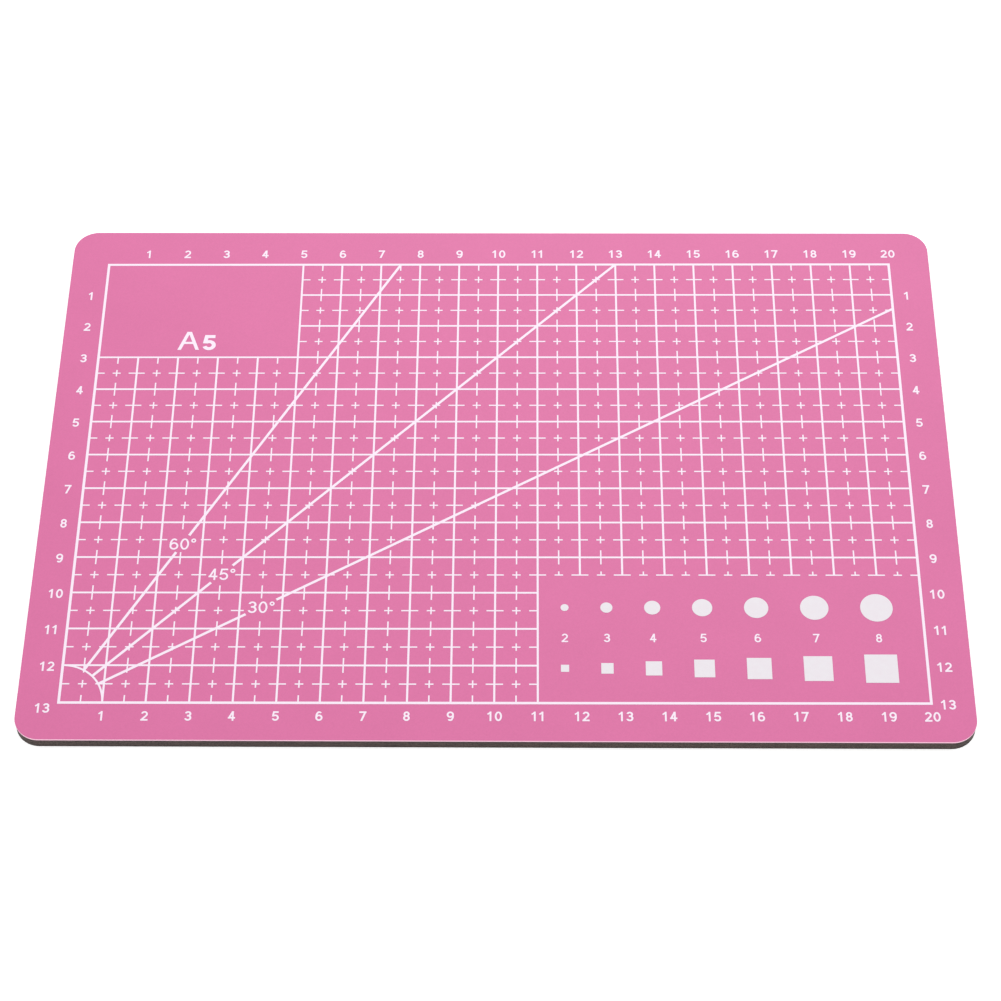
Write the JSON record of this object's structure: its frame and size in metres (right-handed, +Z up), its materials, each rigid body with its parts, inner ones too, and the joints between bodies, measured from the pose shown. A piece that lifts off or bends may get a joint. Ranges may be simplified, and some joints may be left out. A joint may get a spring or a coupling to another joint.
{
  "type": "self-healing cutting mat",
  "caption": "Thin laminated cutting mat with rounded corners and a raised white ruling of centimetre lines, angle lines, gauges and numerals.",
  "frame": {"origin": "centre of the underside", "axes": "+X along the long side to the reader's right, +Y from the front edge to the back edge, +Z up through the sheets"},
  "size_m": [0.2198, 0.1504, 0.0033],
  "materials": {
    "top_skin": "soft pink PVC with a fine satin grain",
    "core_sheet": "dull dark grey-brown PVC, sawn or punched at the edge",
    "base_skin": "dull dark grey PVC with a fine anti-slip texture",
    "line_ink": "matt white screen-printed ink",
    "solid_ink": "matt white screen-printed ink, solid areas with a faint mesh texture"
  },
  "bodies": {
    "root": {"top_skin": "top_skin", "core_sheet": "core_sheet", "base_skin": "base_skin", "border_frame": "line_ink", "centimetre_grid": "line_ink", "half_centimetre_dashes": "line_ink", "cell_crosses": "line_ink", "angle_arc": "line_ink", "angle_lines": "line_ink", "angle_labels": "line_ink", "top_numerals": "line_ink", "bottom_numerals": "line_ink", "left_numerals": "line_ink", "right_numerals": "line_ink", "circle_gauges": "solid_ink", "square_gauges": "solid_ink", "gauge_numerals": "line_ink", "size_mark": "line_ink"}
  },
  "joints": []
}
